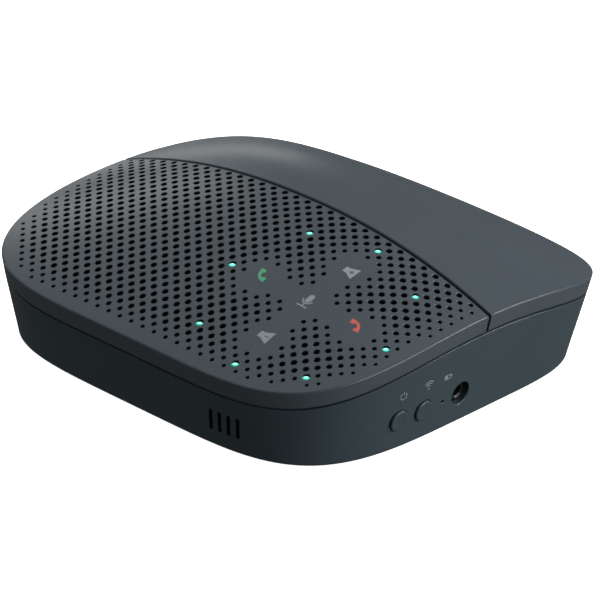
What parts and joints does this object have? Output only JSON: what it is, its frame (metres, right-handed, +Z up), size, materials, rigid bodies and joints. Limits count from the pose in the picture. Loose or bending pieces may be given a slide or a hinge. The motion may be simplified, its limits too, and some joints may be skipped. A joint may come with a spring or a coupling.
{
  "type": "conference speakerphone",
  "caption": "Crowned desktop speakerphone with a perforated grille, lit touch ring, side keys, headset socket and a rear cover that slides back to form a device stand.",
  "frame": {"origin": "centre of the plan outline, on the plane that the rubber feet stand on", "axes": "+X to the right of a user facing the front edge, towards the wall with the keys and the headset socket; +Y to the rear, the way the rear cover slides; +Z up"},
  "size_m": [0.1558, 0.1516, 0.0516],
  "materials": {
    "casing": "satin dark slate grey plastic",
    "base": "satin darker slate grey plastic",
    "inner": "matt black-grey moulding",
    "cloth": "black acoustic cloth",
    "rubber": "matt black rubber",
    "guide": "clear light guide, lit teal",
    "board": "green circuit board",
    "black_part": "black moulded part",
    "steel": "bright steel",
    "magnet": "dark magnet and plates",
    "cone": "coated paper",
    "copper": "copper winding",
    "cell_wrap": "shrink wrap round the cells"
  },
  "bodies": {
    "casing": {"base_shell": "base", "top_grille": "casing", "grille_cloth": "cloth", "slot_tray": "inner", "slot_pad": "rubber", "stand_rail_left": "steel", "stand_rail_right": "steel", "foot_front_left": "rubber", "foot_front_right": "rubber", "foot_rear_left": "rubber", "foot_rear_right": "rubber", "screw_1": "steel", "screw_2": "steel", "screw_3": "steel", "screw_4": "steel", "speaker_baffle": "inner", "speaker_gasket": "rubber", "speaker_basket": "black_part", "speaker_magnet": "magnet", "voice_coil": "copper", "speaker_cone": "cone", "dust_cap": "cone", "speaker_surround": "rubber", "touch_board": "board", "light_guide_1": "guide", "light_guide_2": "guide", "light_guide_3": "guide", "light_guide_4": "guide", "light_guide_5": "guide", "light_guide_6": "guide", "light_guide_7": "guide", "light_guide_8": "guide", "main_board": "board", "battery_pack": "cell_wrap", "side_board": "board", "power_switch": "black_part", "pairing_switch": "black_part", "headset_socket": "black_part", "status_light_guide": "guide", "mic_boot": "rubber", "microphone": "steel", "charging_socket": "steel", "rear_board": "board"},
    "stand_cover": {"rear_cover": "casing", "stand_runner_left": "inner", "stand_runner_right": "inner"},
    "power_key": {"power_button": "base", "power_plunger": "steel"},
    "pairing_key": {"pairing_button": "base", "pairing_plunger": "steel"}
  },
  "joints": [
    {"name": "stand_slide", "type": "slide", "parent": "casing", "child": "stand_cover", "axis": [0, 1, 0], "range_m": [0, 0.012]},
    {"name": "power_press", "type": "slide", "parent": "casing", "child": "power_key", "axis": [-0.9838, 0.0941, 0.1526], "range_m": [0, 0.0006], "stiffness_N_per_m": 1200},
    {"name": "pairing_press", "type": "slide", "parent": "casing", "child": "pairing_key", "axis": [-0.9892, 0.0347, 0.1426], "range_m": [0, 0.0006], "stiffness_N_per_m": 1200}
  ]
}
